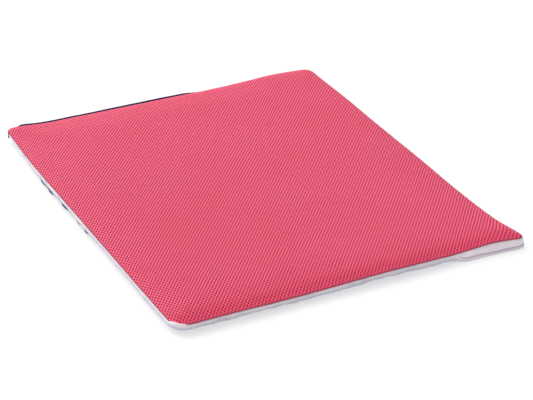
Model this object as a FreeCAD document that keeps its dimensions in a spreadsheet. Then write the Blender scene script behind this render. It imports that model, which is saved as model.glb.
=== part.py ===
import FreeCAD, Part
import math
import os
import re
import Sketcher
from FreeCAD import Placement, Rotation, Vector

# A ventilated pad: a zipped fabric cover with a spacer-mesh top, round a foam core in its own liner.
# Millimetres. +Z is up, X runs along the front edge, +Y points to the rear edge, where the zip is.
# The origin is the centre of the flat underside.

DIMENSIONS = {
    # the pad
    "pad_width": (400, "side to side, along X"),
    "pad_depth": (450, "front edge to rear edge, along Y"),
    "corner_radius": (12, "corner of the outline, seen from above"),
    "loft_radius": (10, "corner of the crown, the core and the curled bottom panel"),
    "crown_z": (18, "top of the mesh over the core"),
    "shoulder_z": (15.6, "mesh at the shoulder of the crown"),
    "seam_z": (12.2, "underside of the mesh in the upper seam"),
    "rim_thickness": (1.0, "mesh pressed flat in the seam"),
    "crown_underside_z": (14, "underside of the mesh over the core"),
    "hollow_inset": (10, "where the mesh starts to rise over the core, in from the outline"),
    "shoulder_inset": (14, "shoulder of the crown, in from the outline"),
    "crown_inset": (48, "flat top of the crown, in from the outline"),
    # the fabric under the mesh
    "panel_thickness": (0.9, "bottom panel"),
    "panel_inset": (1.2, "bottom panel, in from the outline"),
    "curl_inset": (16, "where the bottom panel leaves the ground, at the front and left"),
    "curl_top_z": (4.9, "how high its front and left edges curl up"),
    "curl_top_inset": (2.5, "the curled edges, in from the outline"),
    "welt_width": (4.2, "soft roll along the lower seam, across"),
    "welt_top_z": (5.2, "top of the roll where it lies on the ground, right and rear"),
    "raised_welt_low_z": (5.0, "underside of the roll where it is pulled up, front and left"),
    "raised_welt_top_z": (11.8, "top of the roll there"),
    "welt_fillet": (1.6, "rounding of the roll's edges"),
    "band_thickness": (1.0, "side bands"),
    "band_inset": (0.8, "side band where it shows, in from the outline"),
    "tucked_inset": (4.6, "side band behind the raised roll, in from the outline"),
    "tucked_low_z": (5.2, "tucked side band, lower edge"),
    "tucked_top_z": (12.0, "tucked side band, upper edge"),
    "pleat_x": (124, "pleat on the front edge, where the right band comes out"),
    "band_lap": (15, "how far the two side bands lap at the pleat"),
    "joint_gap": (0.3, "between the two lengths of the roll"),
    # the core and its liner
    "core_inset": (6.8, "core, in from the outline"),
    "core_low_z": (1.7, "underside of the core"),
    "core_curl_inset": (18, "underside of the core, in from the front and left"),
    "core_curl_z": (6.0, "where the core reaches its full width there"),
    "core_side_z": (8.5, "top of the core's upright side"),
    "core_shoulder_z": (11.6, "shoulder of the core"),
    "core_top_z": (13.1, "flat top of the core"),
    "core_shoulder_inset": (16, "shoulder of the core, in from the outline"),
    "core_top_inset": (50, "flat top of the core, in from the outline"),
    "liner_thickness": (0.4, "nonwoven liner"),
    # the thread
    "thread_size": (0.3, "sewing thread"),
    "thread_lift": (0.05, "thread, clear of the cloth it lies on"),
    "top_thread_inset": (2.2, "upper seam, in from the outline"),
    "bottom_thread_inset": (5.8, "lower seam, in from the outline"),
    "stitch_length": (1.9, "one stitch on the zip tape"),
    "stitch_pitch": (2.5, "stitch to stitch"),
    # the zip, in the rear wall
    "zip_left": (-186, "left end of the zip tapes"),
    "zip_right": (50, "right end of the zip tapes"),
    "zip_z": (8.7, "parting line of the zip"),
    "tape_face_y": (224.0, "outer face of the tapes"),
    "tape_thickness": (0.6, "zip tape"),
    "tape_gap": (1.0, "between the two tapes"),
    "bead_width": (1.4, "turned-up seam edge of the upper tape, outside the rim"),
    "bead_top_z": (13.6, "top of that turned-up edge"),
    "bead_clearance": (0.2, "between that edge and the rim of the mesh"),
    "tooth_gap": (0.7, "between the two rows of teeth, where the slider's wedge runs"),
    "tooth_width": (1.7, "one tooth, across the zip"),
    "tooth_height": (1.3, "one tooth, out from the tape"),
    "tooth_length": (0.75, "one tooth, along the zip"),
    "tooth_pitch": (1.25, "tooth to tooth"),
    "teeth_left": (-170.5, "first tooth"),
    "teeth_right": (44, "end of the last tooth"),
    "stop_length": (1.6, "metal stops, along the zip"),
    "stop_height": (1.6, "metal stops, out from the tape"),
    "end_tab_length": (5.5, "cloth tab over the right end of the zip"),
    # the slider and its pull
    "slider_x": (-166, "middle of the slider with the zip closed"),
    "slider_length": (8.5, "slider, along the zip"),
    "slider_width": (5.9, "slider, across the zip"),
    "slider_play": (0.3, "slider to tape and teeth"),
    "plate_thickness": (0.9, "front plate of the slider"),
    "back_plate_thickness": (0.8, "back plate of the slider"),
    "flange_width": (0.6, "flanges that hook behind the teeth"),
    "wedge_length": (2.5, "wedge that parts the teeth"),
    "wedge_width": (0.5, "wedge, across the zip"),
    "bridge_length": (5.2, "bridge that holds the pull"),
    "bridge_width": (1.6, "bridge, across the zip"),
    "bridge_post": (0.9, "each foot of the bridge, along the zip"),
    "bridge_gap": (1.1, "clear height under the bridge"),
    "bridge_bar": (0.8, "thickness of the bridge over that gap"),
    "pivot_offset": (1.1, "pull's cross-bar, to the right of the slider's middle"),
    "pull_thickness": (0.8, "pull tab"),
    "pull_length": (20, "cross-bar to the end of the pull"),
    "pull_width": (4.6, "pull tab"),
    "pull_window_length": (4.6, "cross-bar to the far end of the pull's window"),
    "pull_window_width": (2.2, "window that the bridge passes through"),
    "pull_hole_radius": (1.0, "hole in the end of the pull"),
    # the care label
    "label_x": (120, "left edge of the label, on the rear wall"),
    "label_width": (22, "label, along the seam"),
    "label_thickness": (0.4, "folded label"),
    "label_stand": (0.2, "label, clear of the outline"),
    "label_low_z": (1.5, "lower edge of the label"),
    "label_top_z": (12.0, "where the label leaves the seam"),
    # aids to modelling
    "margin": (1, "how far a cut reaches past what it cuts"),
    "overlap": (0.1, "how far fused blocks reach into each other"),
}

doc = FreeCAD.newDocument("VentilatedPad")
sheet = doc.addObject("Spreadsheet::Sheet", "Dimensions")
for row, (alias, (value, meaning)) in enumerate(DIMENSIONS.items(), start=1):
    sheet.set(f"A{row}", alias)
    sheet.set(f"B{row}", str(value))
    sheet.set(f"C{row}", meaning)
    sheet.setAlias(f"B{row}", alias)
doc.recompute()

parts = {}


def number(expression):
    """The value of an expression in the sheet's aliases."""
    result = sheet.evalExpression(str(expression))
    return float(getattr(result, "Value", result))


def bind(obj, prop, expression):
    """Tie a property to an expression in the sheet's aliases."""
    linked = re.sub(
        r"[a-z_]+",
        lambda word: f"Dimensions.{word.group()}" if word.group() in DIMENSIONS else word.group(),
        str(expression),
    )
    obj.setExpression(prop, linked)


def keep(obj, label):
    """Name a finished sub-part; its label is its file's name."""
    obj.Label = label
    parts[label] = obj
    return obj


# Sketches


def new_body(name):
    return doc.addObject("PartDesign::Body", f"{name}_body")


def new_sketch(body, name, height="0", role="XY_Plane"):
    """A sketch on one of the body's own planes, moved out along that plane's normal."""
    plane = next(f for f in body.Origin.OriginFeatures if f.Role == role)
    sketch = body.newObject("Sketcher::SketchObject", name)
    sketch.AttachmentSupport = [(plane, "")]
    sketch.MapMode = "FlatFace"
    bind(sketch, "AttachmentOffset.Base.z", height)
    return sketch


def driven(sketch, constraint, expression):
    """Add one dimension to a sketch and tie it to an expression."""
    index = sketch.addConstraint(constraint)
    bind(sketch, f"Constraints[{index}]", expression)


def pin_point(sketch, edge, end, x, y):
    """Place the end of an edge by its distances from the sketch's origin."""
    for kind, expression in (("DistanceX", x), ("DistanceY", y)):
        constraint = Sketcher.Constraint(kind, -1, 1, edge, end, number(expression))
        driven(sketch, constraint, expression)


def draw_polygon(sketch, points):
    """A closed outline of straight edges through points given as pairs of expressions."""
    corners = [Vector(number(x), number(y), 0) for x, y in points]
    count = len(corners)
    edges = [
        sketch.addGeometry(Part.LineSegment(corners[i], corners[(i + 1) % count]), False)
        for i in range(count)
    ]
    for i in range(count):
        sketch.addConstraint(Sketcher.Constraint("Coincident", edges[i], 2, edges[(i + 1) % count], 1))
    for edge, (x, y) in zip(edges, points):
        pin_point(sketch, edge, 1, x, y)


def draw_outline(sketch, inset, open_inset=None, radius=None):
    """The pad's rounded outline, moved in: by inset at the front and left, by open_inset elsewhere."""
    open_inset = inset if open_inset is None else open_inset
    radius = f"corner_radius - {inset}" if radius is None else radius
    sides = {
        "left": f"pad_width / 2 - {inset}",
        "right": f"pad_width / 2 - {open_inset}",
        "front": f"pad_depth / 2 - {inset}",
        "rear": f"pad_depth / 2 - {open_inset}",
    }
    left, right, front, rear = (number(sides[s]) for s in ("left", "right", "front", "rear"))
    r = number(radius)
    runs = (
        (Vector(-left + r, -front, 0), Vector(right - r, -front, 0)),
        (Vector(right, -front + r, 0), Vector(right, rear - r, 0)),
        (Vector(right - r, rear, 0), Vector(-left + r, rear, 0)),
        (Vector(-left, rear - r, 0), Vector(-left, -front + r, 0)),
    )
    centres = (
        Vector(right - r, -front + r, 0),
        Vector(right - r, rear - r, 0),
        Vector(-left + r, rear - r, 0),
        Vector(-left + r, -front + r, 0),
    )
    lines = []
    arcs = []
    quarter_turn = math.pi / 2
    for turn, ((start, end), centre) in enumerate(zip(runs, centres)):
        lines.append(sketch.addGeometry(Part.LineSegment(start, end), False))
        circle = Part.Circle(centre, Vector(0, 0, 1), r)
        arc = Part.ArcOfCircle(circle, (turn - 1) * quarter_turn, turn * quarter_turn)
        arcs.append(sketch.addGeometry(arc, False))
    for i in range(4):
        sketch.addConstraint(Sketcher.Constraint("Tangent", lines[i], 2, arcs[i], 1))
        sketch.addConstraint(Sketcher.Constraint("Tangent", arcs[i], 2, lines[(i + 1) % 4], 1))
    for i, kind in enumerate(("Horizontal", "Vertical", "Horizontal", "Vertical")):
        sketch.addConstraint(Sketcher.Constraint(kind, lines[i]))
    for arc in arcs[1:]:
        sketch.addConstraint(Sketcher.Constraint("Equal", arcs[0], arc))
    driven(sketch, Sketcher.Constraint("Radius", arcs[0], r), radius)
    driven(sketch, Sketcher.Constraint("DistanceY", lines[0], 1, -1, 1, front), sides["front"])
    driven(sketch, Sketcher.Constraint("DistanceX", -1, 1, lines[1], 1, right), sides["right"])
    driven(sketch, Sketcher.Constraint("DistanceY", -1, 1, lines[2], 1, rear), sides["rear"])
    driven(sketch, Sketcher.Constraint("DistanceX", lines[3], 1, -1, 1, left), sides["left"])


# Features


def add_pad(body, sketch, length):
    pad = body.newObject("PartDesign::Pad", f"{sketch.Name}_pad")
    pad.Profile = sketch
    bind(pad, "Length", length)
    return pad


def cut_through(body, sketch):
    """Remove everything inside a sketch, above and below it."""
    pocket = body.newObject("PartDesign::Pocket", f"{sketch.Name}_pocket")
    pocket.Profile = sketch
    pocket.Type = "ThroughAll"
    pocket.Midplane = True
    return pocket


def loft_outlines(body, name, kind, levels):
    """A ruled loft through the pad's outline at several levels: (height, inset[, open inset])."""
    sketches = []
    for index, (height, *insets) in enumerate(levels):
        sketch = new_sketch(body, f"{name}_outline_{index}", height)
        draw_outline(sketch, *insets, radius="loft_radius")
        sketches.append(sketch)
    loft = body.newObject(f"PartDesign::{kind}", f"{name}_loft")
    loft.Profile = sketches[0]
    loft.Sections = sketches[1:]
    loft.Ruled = True
    return loft


def add_box(name, corner, size):
    """A box from its lowest corner and its size, both as expressions."""
    box = doc.addObject("Part::Box", name)
    for axis, expression in zip("xyz", corner):
        bind(box, f"Placement.Base.{axis}", expression)
    for side, expression in zip(("Length", "Width", "Height"), size):
        bind(box, side, expression)
    return box


def add_cylinder(name, base, radius, height, rotation=Rotation()):
    cylinder = doc.addObject("Part::Cylinder", name)
    cylinder.Placement = Placement(Vector(), rotation)
    for axis, expression in zip("xyz", base):
        bind(cylinder, f"Placement.Base.{axis}", expression)
    bind(cylinder, "Radius", radius)
    bind(cylinder, "Height", height)
    return cylinder


def fuse(name, shapes):
    joined = doc.addObject("Part::MultiFuse", name)
    joined.Shapes = shapes
    joined.Refine = True
    return joined


def cut(name, base, tool):
    result = doc.addObject("Part::Cut", name)
    result.Base = base
    result.Tool = tool
    return result


def ring_wall(name, low, high, inset, thickness):
    """An upright wall all round the pad, as a body that can be rounded and trimmed."""
    body = new_body(name)
    sketch = new_sketch(body, f"{name}_ring", low)
    draw_outline(sketch, inset)
    draw_outline(sketch, f"({inset} + {thickness})")
    add_pad(body, sketch, f"{high} - {low}")
    return body


def trim(body, name, points):
    """Remove the part of a wall that lies inside an outline, seen from above."""
    sketch = new_sketch(body, f"{name}_trim")
    draw_polygon(sketch, points)
    cut_through(body, sketch)


def beyond_pleat(x, y, inner="0"):
    """An outline round the right and rear sides: from x on the front edge to y on the left side."""
    return (
        (x, "-pad_depth / 2 - margin"),
        ("pad_width / 2 + margin", "-pad_depth / 2 - margin"),
        ("pad_width / 2 + margin", "pad_depth / 2 + margin"),
        ("-pad_width / 2 - margin", "pad_depth / 2 + margin"),
        ("-pad_width / 2 - margin", y),
        (inner, y),
        (inner, "0"),
        (x, "0"),
    )


def before_pleat(x, y, inner="0"):
    """An outline round the front and left sides: as far as x on the front edge and y on the left side."""
    return (
        ("-pad_width / 2 - margin", "-pad_depth / 2 - margin"),
        (x, "-pad_depth / 2 - margin"),
        (x, "0"),
        (inner, "0"),
        (inner, y),
        ("-pad_width / 2 - margin", y),
    )


# The cover


def make_top_panel():
    """Spacer mesh: a crowned lid over the core, pressed thin where it is sewn."""
    body = new_body("top_panel")
    loft_outlines(body, "crown", "AdditiveLoft", (
        ("seam_z", "0"),
        ("seam_z + rim_thickness", "(rim_thickness / 3)"),
        ("shoulder_z", "shoulder_inset"),
        ("crown_z", "crown_inset"),
    ))
    loft_outlines(body, "hollow", "SubtractiveLoft", (
        ("seam_z", "hollow_inset"),
        ("crown_underside_z", "crown_inset"),
    ))
    keep(body, "top_panel")


def make_bottom_panel():
    """Navy cloth, flat on the ground; its front and left edges curl up to the raised roll."""
    body = new_body("bottom_panel")
    loft_outlines(body, "panel_outside", "AdditiveLoft", (
        ("0", "curl_inset", "panel_inset"),
        ("curl_top_z", "curl_top_inset", "panel_inset"),
    ))
    loft_outlines(body, "panel_inside", "SubtractiveLoft", (
        ("panel_thickness", "(curl_inset + panel_inset)", "(-panel_inset)"),
        ("curl_top_z", "(curl_top_inset + 1.5 * panel_thickness)", "(-panel_inset)"),
    ))
    # Where the curl meets the roll that lies on the ground, at two corners, the cloth stops at the roll.
    keep(cut("panel_clear_of_roll", body, parts["edge_welt_low"]), "bottom_panel")


def make_welt(label, low, high, trimmed):
    """A length of the soft white roll, with rounded edges."""
    body = ring_wall(label, low, high, "0", "welt_width")
    pad = body.Tip
    doc.recompute()
    levels = [number(low), number(high)]
    names = []
    for index, edge in enumerate(pad.Shape.Edges, start=1):
        box = edge.BoundBox
        if box.ZLength < 1e-6 and min(abs(box.ZMin - z) for z in levels) < 1e-6:
            names.append(f"Edge{index}")
    fillet = body.newObject("PartDesign::Fillet", f"{label}_rounding")
    fillet.Base = (pad, names)
    bind(fillet, "Radius", "welt_fillet")
    trim(body, label, trimmed)
    keep(body, label)


def make_welts():
    """The roll lies on the ground at the right and rear, and is pulled up at the front and left."""
    left_end = "pad_depth / 2 - corner_radius"
    make_welt("edge_welt_low", "panel_thickness", "welt_top_z", before_pleat("pleat_x", left_end))
    make_welt("edge_welt_raised", "raised_welt_low_z", "raised_welt_top_z",
              beyond_pleat("pleat_x - joint_gap", f"{left_end} - joint_gap"))


def make_side_bands():
    """Two strips of one band: the right one shows, the left one is tucked behind the raised roll."""
    right = ring_wall("side_band_right", "welt_top_z", "seam_z", "band_inset", "band_thickness")
    trim(right, "side_band_right", before_pleat("pleat_x", "pad_depth / 2 + margin", "zip_right + slider_play"))
    keep(right, "side_band_right")
    left = ring_wall("side_band_left", "tucked_low_z", "tucked_top_z", "tucked_inset", "band_thickness")
    trim(left, "side_band_left", beyond_pleat("pleat_x + band_lap", "pad_depth / 2 - corner_radius"))
    keep(left, "side_band_left")


def make_seam_threads():
    """The two seams that close the cover; the lower one has a low and a raised length."""
    top = ring_wall("top_seam_thread", "(seam_z - thread_size - thread_lift)", "(seam_z - thread_lift)",
                    "top_thread_inset", "thread_size")
    keep(top, "top_seam_thread")
    left_end = "pad_depth / 2 - corner_radius"
    flat_from = "curl_inset + loft_radius + margin"
    ground_run = (
        ("-pad_width / 2 - margin", "-pad_depth / 2 - margin"),
        ("pad_width / 2 + margin", "-pad_depth / 2 - margin"),
        ("pad_width / 2 + margin", f"-pad_depth / 2 + {flat_from}"),
        (f"-pad_width / 2 + {flat_from}", f"-pad_depth / 2 + {flat_from}"),
        (f"-pad_width / 2 + {flat_from}", "pad_depth / 2 + margin"),
        ("-pad_width / 2 - margin", "pad_depth / 2 + margin"),
    )
    runs = (
        ("low", "(panel_thickness + thread_lift)", ground_run),
        ("raised", "(raised_welt_low_z + thread_lift)", beyond_pleat("pleat_x", left_end)),
    )
    lengths = []
    for name, low, trimmed in runs:
        run = ring_wall(f"{name}_seam_thread", low, f"({low} + thread_size)", "bottom_thread_inset", "thread_size")
        trim(run, f"{name}_seam_thread", trimmed)
        lengths.append(run)
    seam = doc.addObject("Part::Compound", "bottom_seam")
    seam.Links = lengths
    keep(seam, "bottom_seam_thread")


# The core


def core_levels(grow):
    """Levels of the core's loft, grown outwards and upwards by a thickness."""
    side = f"(core_inset - {grow})"
    return (
        ("core_low_z", f"(core_curl_inset - {grow})", side),
        ("core_curl_z", side),
        ("core_side_z", side),
        (f"core_shoulder_z + {grow}", "core_shoulder_inset"),
        (f"core_top_z + {grow}", "core_top_inset"),
    )


def make_core():
    body = new_body("core_pad")
    loft_outlines(body, "core", "AdditiveLoft", core_levels("0"))
    keep(body, "core_pad")


def make_core_liner():
    """A sewn nonwoven bag round the core: a dished upper sheet and a flat lower one."""
    upper = new_body("core_liner_upper")
    loft_outlines(upper, "liner_outside", "AdditiveLoft", core_levels("liner_thickness"))
    loft_outlines(upper, "liner_inside", "SubtractiveLoft", core_levels("0"))
    keep(upper, "core_liner_upper")
    lower = new_body("core_liner_lower")
    sketch = new_sketch(lower, "lower_liner_outline", "core_low_z - liner_thickness")
    draw_outline(sketch, "(core_curl_inset - liner_thickness)", "(core_inset - liner_thickness)", "loft_radius")
    add_pad(lower, sketch, "liner_thickness")
    keep(lower, "core_liner_lower")


# The zip


def extrude_along_zip(label, start, length, profile):
    """A profile of (Y, Z) points, drawn across the zip and run along it."""
    body = new_body(label)
    sketch = new_sketch(body, f"{label}_profile", start, role="YZ_Plane")
    draw_polygon(sketch, profile)
    add_pad(body, sketch, length)
    return keep(body, label)


def make_zip_tapes():
    inner = "tape_face_y - tape_thickness"
    outer = "tape_face_y"
    rim = "pad_depth / 2 + bead_clearance"
    edge = "zip_z + tape_gap / 2"
    extrude_along_zip("zip_tape_upper", "zip_left", "zip_right - zip_left", (
        (inner, edge),
        (outer, edge),
        (outer, "seam_z - bead_clearance"),
        (f"{rim} + bead_width", "seam_z - bead_clearance"),
        (f"{rim} + bead_width", "bead_top_z"),
        (rim, "bead_top_z"),
        (rim, "seam_z"),
        (inner, "seam_z"),
    ))
    extrude_along_zip("zip_tape_lower", "zip_left", "zip_right - zip_left", (
        (inner, "welt_top_z"),
        (outer, "welt_top_z"),
        (outer, "zip_z - tape_gap / 2"),
        (inner, "zip_z - tape_gap / 2"),
    ))


def repeated_boxes(corner, size, pitch, last):
    """A row of equal separate boxes along X, from corner to the last start that fits."""
    start = Vector(*(number(c) for c in corner))
    block = Part.makeBox(*(number(s) for s in size), start)
    step = number(pitch)
    count = int((number(last) - start.x - number(size[0])) / step) + 1
    return [block.translated(Vector(i * step, 0, 0)) for i in range(count)]


def make_zip_teeth():
    """The two rows of teeth, each a group of separate solids, half a pitch apart."""
    size = ("tooth_length", "tooth_height", "tooth_width")
    rows = (
        ("zip_teeth_upper", "teeth_left", "zip_z + tooth_gap / 2"),
        ("zip_teeth_lower", "teeth_left + tooth_pitch / 2", "zip_z - tooth_gap / 2 - tooth_width"),
    )
    for label, start, low in rows:
        row = repeated_boxes((start, "tape_face_y", low), size, "tooth_pitch", "teeth_right")
        teeth = doc.addObject("Part::Feature", f"{label}_row")
        teeth.Shape = Part.makeCompound(row)
        keep(teeth, label)


def make_zip_stitching():
    """One line of stitches along each tape."""
    size = ("stitch_length", "thread_size", "thread_size")
    stitches = []
    for low in ("seam_z - 2 * thread_size", "welt_top_z + thread_size / 2"):
        corner = ("zip_left + end_tab_length", "tape_face_y", low)
        stitches += repeated_boxes(corner, size, "stitch_pitch", "zip_right - end_tab_length")
    line = doc.addObject("Part::Feature", "zip_stitching_rows")
    line.Shape = Part.makeCompound(stitches)
    keep(line, "zip_stitching")


def make_zip_ends():
    """Metal stops at both ends of the teeth, and the cloth tabs over the ends of the tapes."""
    upper = add_box("top_stop_upper", ("teeth_left - 2 * stop_length", "tape_face_y", "zip_z + tooth_gap / 2"),
                    ("stop_length", "stop_height", "tooth_width"))
    lower = add_box("top_stop_lower",
                    ("teeth_left - 2 * stop_length", "tape_face_y", "zip_z - tooth_gap / 2 - tooth_width"),
                    ("stop_length", "stop_height", "tooth_width"))
    pair = doc.addObject("Part::Compound", "top_stops")
    pair.Links = [upper, lower]
    keep(pair, "zip_top_stops")
    bottom = add_box("bottom_stop",
                     ("teeth_right + stop_length", "tape_face_y", "zip_z - tooth_gap / 2 - tooth_width"),
                     ("stop_length", "stop_height", "2 * tooth_width + tooth_gap"))
    keep(bottom, "zip_bottom_stop")
    tab = add_box("right_end_tab",
                  ("zip_right - end_tab_length / 2", "tape_face_y + slider_play", "welt_top_z + tape_thickness"),
                  ("end_tab_length", "tape_thickness", "seam_z - welt_top_z - 2 * tape_thickness"))
    keep(tab, "zip_end_tab_right")
    # The left tab carries on round the corner, up to the end of the raised roll.
    tab = ring_wall("zip_end_tab_left", "(welt_top_z + thread_size)", "(seam_z - thread_size)", "slider_play",
                    "tape_thickness")
    trim(tab, "front_and_right", (
        ("-pad_width / 2 - margin", "-pad_depth / 2 - margin"),
        ("pad_width / 2 + margin", "-pad_depth / 2 - margin"),
        ("pad_width / 2 + margin", "pad_depth / 2 + margin"),
        ("zip_left - slider_play", "pad_depth / 2 + margin"),
        ("zip_left - slider_play", "pad_depth / 2 - corner_radius + slider_play"),
        ("-pad_width / 2 - margin", "pad_depth / 2 - corner_radius + slider_play"),
    ))
    keep(tab, "zip_end_tab_left")


def make_slider():
    """Front and back plates, joined by the wedge, with flanges round the teeth and a bridge on top."""
    left = "slider_x - slider_length / 2"
    low = "zip_z - slider_width / 2"
    front_y = "tape_face_y + tooth_height + slider_play"
    back_y = "tape_face_y - tape_thickness - slider_play - back_plate_thickness"
    top_y = f"{front_y} + plate_thickness"
    bar_y = f"{top_y} + bridge_gap"
    front = add_box("slider_front", (left, front_y, low),
                    ("slider_length", "plate_thickness", "slider_width"))
    back = add_box("slider_back", (left, back_y, low),
                   ("slider_length", "back_plate_thickness", "slider_width"))
    wedge = add_box("slider_wedge", (left, back_y, "zip_z - wedge_width / 2"),
                    ("wedge_length", f"{top_y} - ({back_y})", "wedge_width"))
    pieces = [front, back, wedge]
    for side, flange_low in (("lower", low), ("upper", "zip_z + slider_width / 2 - flange_width")):
        pieces.append(add_box(f"slider_flange_{side}", (left, "tape_face_y + slider_play", flange_low),
                              ("slider_length", f"{front_y} - tape_face_y - slider_play + overlap", "flange_width")))
    post_low = "zip_z - bridge_width / 2"
    posts = (("left", "slider_x - bridge_length / 2"), ("right", "slider_x + bridge_length / 2 - bridge_post"))
    for side, post_left in posts:
        pieces.append(add_box(f"bridge_post_{side}", (post_left, f"{top_y} - overlap", post_low),
                              ("bridge_post", "bridge_gap + 2 * overlap", "bridge_width")))
    pieces.append(add_box("bridge_bar", ("slider_x - bridge_length / 2", bar_y, post_low),
                          ("bridge_length", "bridge_bar", "bridge_width")))
    keep(fuse("slider_solid", pieces), "zip_slider")


def make_pull_tab():
    """A flat tab with a window at its root: the cross-bar there turns under the slider's bridge."""
    pivot_x = "slider_x + pivot_offset"
    pivot_y = "tape_face_y + tooth_height + slider_play + plate_thickness + bridge_gap / 2"
    low_y = f"{pivot_y} - pull_thickness / 2"
    across = Rotation(Vector(1, 0, 0), -90)
    plate = add_box("pull_plate", (pivot_x, low_y, "zip_z - pull_width / 2"),
                    ("pull_length - pull_width / 2", "pull_thickness", "pull_width"))
    end = add_cylinder("pull_end", (f"{pivot_x} + pull_length - pull_width / 2", low_y, "zip_z"),
                       "pull_width / 2", "pull_thickness", across)
    root = add_cylinder("pull_root", (pivot_x, pivot_y, "zip_z - pull_width / 2"),
                        "pull_thickness / 2", "pull_width")
    window = add_box("pull_window", (f"{pivot_x} - margin", f"{low_y} - margin", "zip_z - pull_window_width / 2"),
                     ("pull_window_length + margin", "pull_thickness + 2 * margin", "pull_window_width"))
    hole = add_cylinder("pull_hole", (f"{pivot_x} + pull_length - pull_width / 2", f"{low_y} - margin", "zip_z"),
                        "pull_hole_radius", "pull_thickness + 2 * margin", across)
    bar = add_cylinder("pull_cross_bar", (pivot_x, pivot_y, "zip_z - pull_width / 2"),
                       "pull_thickness / 2", "pull_width")
    blank = fuse("pull_blank", [plate, end, root])
    openings = fuse("pull_openings", [window, hole])
    opened = cut("pull_opened", blank, openings)
    keep(fuse("pull_solid", [opened, bar]), "zip_pull_tab")


def make_care_label():
    """A blank folded label, sewn into the upper rear seam and hanging down over the roll."""
    near = "pad_depth / 2 + label_stand"
    far = f"{near} + label_thickness"
    root = "pad_depth / 2 - band_inset + overlap"
    extrude_along_zip("care_label", "label_x", "label_width", (
        (near, "label_low_z"),
        (far, "label_low_z"),
        (far, "label_top_z"),
        (root, "label_top_z"),
        (root, "label_top_z - label_thickness"),
        (near, "label_top_z - label_thickness"),
    ))


make_top_panel()
make_welts()
make_bottom_panel()
make_side_bands()
make_seam_threads()
make_core()
make_core_liner()
make_zip_tapes()
make_zip_teeth()
make_zip_stitching()
make_zip_ends()
make_slider()
make_pull_tab()
make_care_label()
doc.recompute()

faults = [f"{o.Label}: {o.State}" for o in doc.Objects if {"Invalid", "Error"} & set(o.State)]
for label, obj in parts.items():
    if obj.Shape.isNull() or not obj.Shape.isValid() or not obj.Shape.Solids:
        faults.append(f"{label}: no valid solid")
if faults:
    raise RuntimeError("; ".join(faults))

os.makedirs("parts", exist_ok=True)
for label, obj in parts.items():
    obj.Shape.exportStep(os.path.join("parts", f"{label}.step"))
    box = obj.Shape.BoundBox
    print(f"{label:22s} {len(obj.Shape.Solids):4d} solids  {obj.Shape.Volume:10.1f} mm3  "
          f"x {box.XMin:.1f}..{box.XMax:.1f}  y {box.YMin:.1f}..{box.YMax:.1f}  z {box.ZMin:.2f}..{box.ZMax:.2f}")
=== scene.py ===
import math

import bpy
import numpy as np
from mathutils import Matrix, Vector
from mathutils.bvhtree import BVHTree


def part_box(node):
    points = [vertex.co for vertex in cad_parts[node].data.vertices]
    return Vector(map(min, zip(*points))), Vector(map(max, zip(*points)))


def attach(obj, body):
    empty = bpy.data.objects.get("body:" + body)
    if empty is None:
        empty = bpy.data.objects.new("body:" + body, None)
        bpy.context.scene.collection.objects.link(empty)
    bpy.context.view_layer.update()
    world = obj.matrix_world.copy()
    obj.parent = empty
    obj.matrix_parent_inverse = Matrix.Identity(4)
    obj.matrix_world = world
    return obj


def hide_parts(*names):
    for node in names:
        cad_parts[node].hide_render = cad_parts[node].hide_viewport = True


# The looks of a ventilated laptop pad: an open spacer-mesh top over a foam core, a soft white edge roll,
# a white side band, a navy underside, and a zip in the rear wall.
# Metres, in the CAD model's frame: +Z up, X along the front edge, +Y towards the rear edge.

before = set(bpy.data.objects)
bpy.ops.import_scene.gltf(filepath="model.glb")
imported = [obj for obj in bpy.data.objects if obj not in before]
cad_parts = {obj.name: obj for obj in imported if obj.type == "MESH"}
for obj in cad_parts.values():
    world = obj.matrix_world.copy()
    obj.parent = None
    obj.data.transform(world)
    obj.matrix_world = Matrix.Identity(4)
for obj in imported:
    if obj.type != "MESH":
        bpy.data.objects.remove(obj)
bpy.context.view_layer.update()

MM = 0.001
SEED = 7

# The outline, from the CAD nodes.
ROLL_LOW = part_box("edge_welt_low")
ROLL_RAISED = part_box("edge_welt_raised")
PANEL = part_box("top_panel")
HALF_X = PANEL[1].x
HALF_Y = PANEL[1].y
CORNERS = (8 * MM, 12 * MM, 9 * MM, 17 * MM)
SEAM_Z = PANEL[0].z
CROWN_Z = PANEL[1].z
PLEAT_X = ROLL_RAISED[1].x
ZIP_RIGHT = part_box("zip_tape_upper")[1].x

# Colours, as linear RGB.
PINK_LIGHT = (0.87, 0.144, 0.254, 1)
PINK = (0.85, 0.100, 0.194, 1)
# PINK_SHADE and PINK_DEEP are painted shade, for the holes and the front edge
PINK_SHADE = (0.80, 0.074, 0.158, 1)
PINK_DEEP = (0.73, 0.045, 0.112, 1)
# painted shadow colour for the seam at the mesh's rim and the hem
PINK_SEAM_SHADE = (0.42, 0.06, 0.11, 1)
WHITE_CLOTH = (0.91, 0.825, 0.89, 1)
# a lighter copy of the roll's white: painted light for the band on the right side
WHITE_BAND_LIT = (1.0, 0.90, 0.97, 1)
WHITE_SHADE = (0.70, 0.635, 0.71, 1)
# grey-blue painted shade for the white cloth's underside and grooves
WHITE_PAINTED_SHADE = (0.42, 0.42, 0.50, 1)
NAVY = (0.016, 0.026, 0.12, 1)
NAVY_LIGHT = (0.036, 0.054, 0.20, 1)


# The outline of the pad, walked anticlockwise from the left end of the front edge's straight run.


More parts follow.
